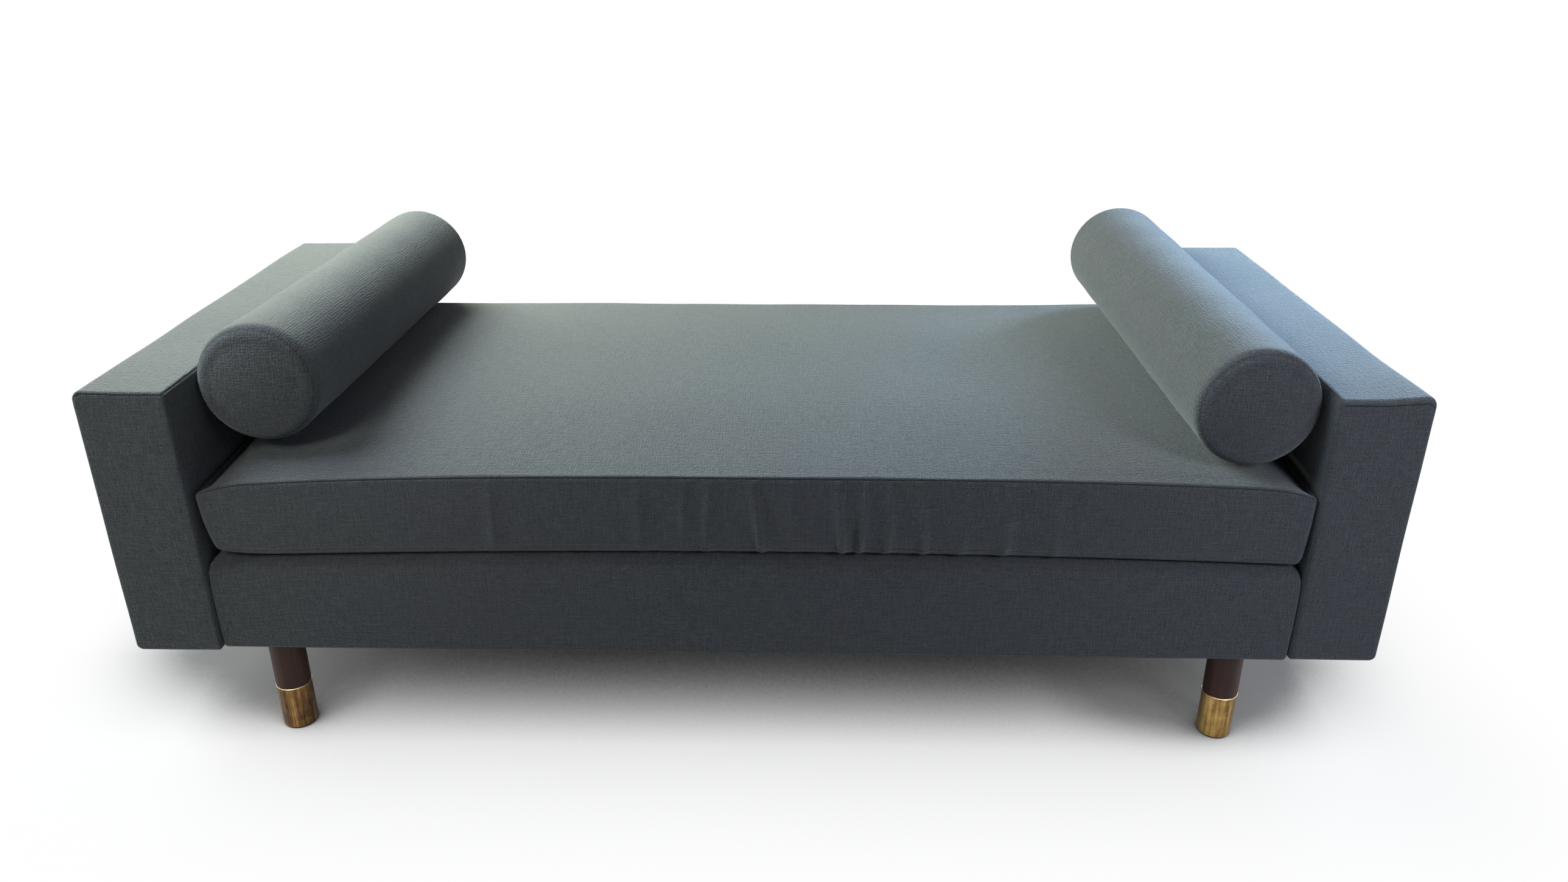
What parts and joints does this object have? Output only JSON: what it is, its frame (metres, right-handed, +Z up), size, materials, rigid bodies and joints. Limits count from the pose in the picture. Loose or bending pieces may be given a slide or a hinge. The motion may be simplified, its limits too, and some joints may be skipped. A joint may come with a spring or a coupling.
{
  "type": "daybed",
  "caption": "Backless upholstered daybed with panel arms, a loose crowned seat cushion, loose bolsters and turned wood legs in brass ferrules.",
  "frame": {"origin": "On the floor, under the middle of the whole piece's bounding box, bolsters included; the bed frame's own middle lies 40.8 mm in front of it.", "axes": "+X to the right as one faces the daybed's front, along its width; the front faces -Y; +Z up."},
  "size_m": [1.94, 0.9216, 0.6888],
  "materials": {
    "upholstery": "matt slate grey woven linen-like cloth",
    "foam": "open-cell foam",
    "hardwood": "planed, unfinished",
    "walnut": "dark satin stain",
    "brass": "aged, brushed",
    "steel": "zinc plated",
    "glide": "moulded nylon",
    "lining": "black non-woven cloth",
    "zip": "nylon coil zip on tape"
  },
  "bodies": {
    "frame": {"front_rail": "hardwood", "back_rail": "hardwood", "cross_rail_left": "hardwood", "cross_rail_right": "hardwood", "ledger_front": "hardwood", "ledger_back": "hardwood", "slats": "hardwood", "corner_block_front_left": "hardwood", "corner_block_front_right": "hardwood", "corner_block_back_left": "hardwood", "corner_block_back_right": "hardwood", "front_rail_cover": "upholstery", "back_rail_cover": "upholstery", "deck_pad": "foam", "dust_cloth": "lining", "leg_front_left": "walnut", "leg_front_right": "walnut", "leg_back_left": "walnut", "leg_back_right": "walnut", "ferrule_front_left": "brass", "ferrule_front_right": "brass", "ferrule_back_left": "brass", "ferrule_back_right": "brass", "glide_front_left": "glide", "glide_front_right": "glide", "glide_back_left": "glide", "glide_back_right": "glide", "leg_bolt_front_left": "steel", "leg_bolt_front_right": "steel", "leg_bolt_back_left": "steel", "leg_bolt_back_right": "steel", "arm_bottom_board_left": "hardwood", "arm_bottom_board_right": "hardwood", "arm_post_front_left": "hardwood", "arm_post_front_right": "hardwood", "arm_post_back_left": "hardwood", "arm_post_back_right": "hardwood", "arm_top_board_left": "hardwood", "arm_top_board_right": "hardwood", "arm_inner_pad_left": "upholstery", "arm_inner_pad_right": "upholstery", "arm_outer_pad_left": "upholstery", "arm_outer_pad_right": "upholstery", "arm_top_pad_left": "upholstery", "arm_top_pad_right": "upholstery", "arm_front_panel_left": "upholstery", "arm_front_panel_right": "upholstery", "arm_back_panel_left": "upholstery", "arm_back_panel_right": "upholstery"},
    "cushion": {"cushion_core": "foam", "cushion_top_panel": "upholstery", "cushion_border": "upholstery", "cushion_bottom_panel": "upholstery", "cushion_zip": "zip"},
    "bolster_left": {"bolster_core_left": "foam", "bolster_cover_left": "upholstery"},
    "bolster_right": {"bolster_core_right": "foam", "bolster_cover_right": "upholstery"}
  },
  "joints": [
    {"name": "cushion_lift", "type": "slide", "parent": "frame", "child": "cushion", "axis": [0, 0, 1], "range_m": [0, 0.3]},
    {"name": "bolster_left_lift", "type": "slide", "parent": "cushion", "child": "bolster_left", "axis": [0, 0, 1], "range_m": [0, 0.2]},
    {"name": "bolster_right_lift", "type": "slide", "parent": "cushion", "child": "bolster_right", "axis": [0, 0, 1], "range_m": [0, 0.2]}
  ]
}
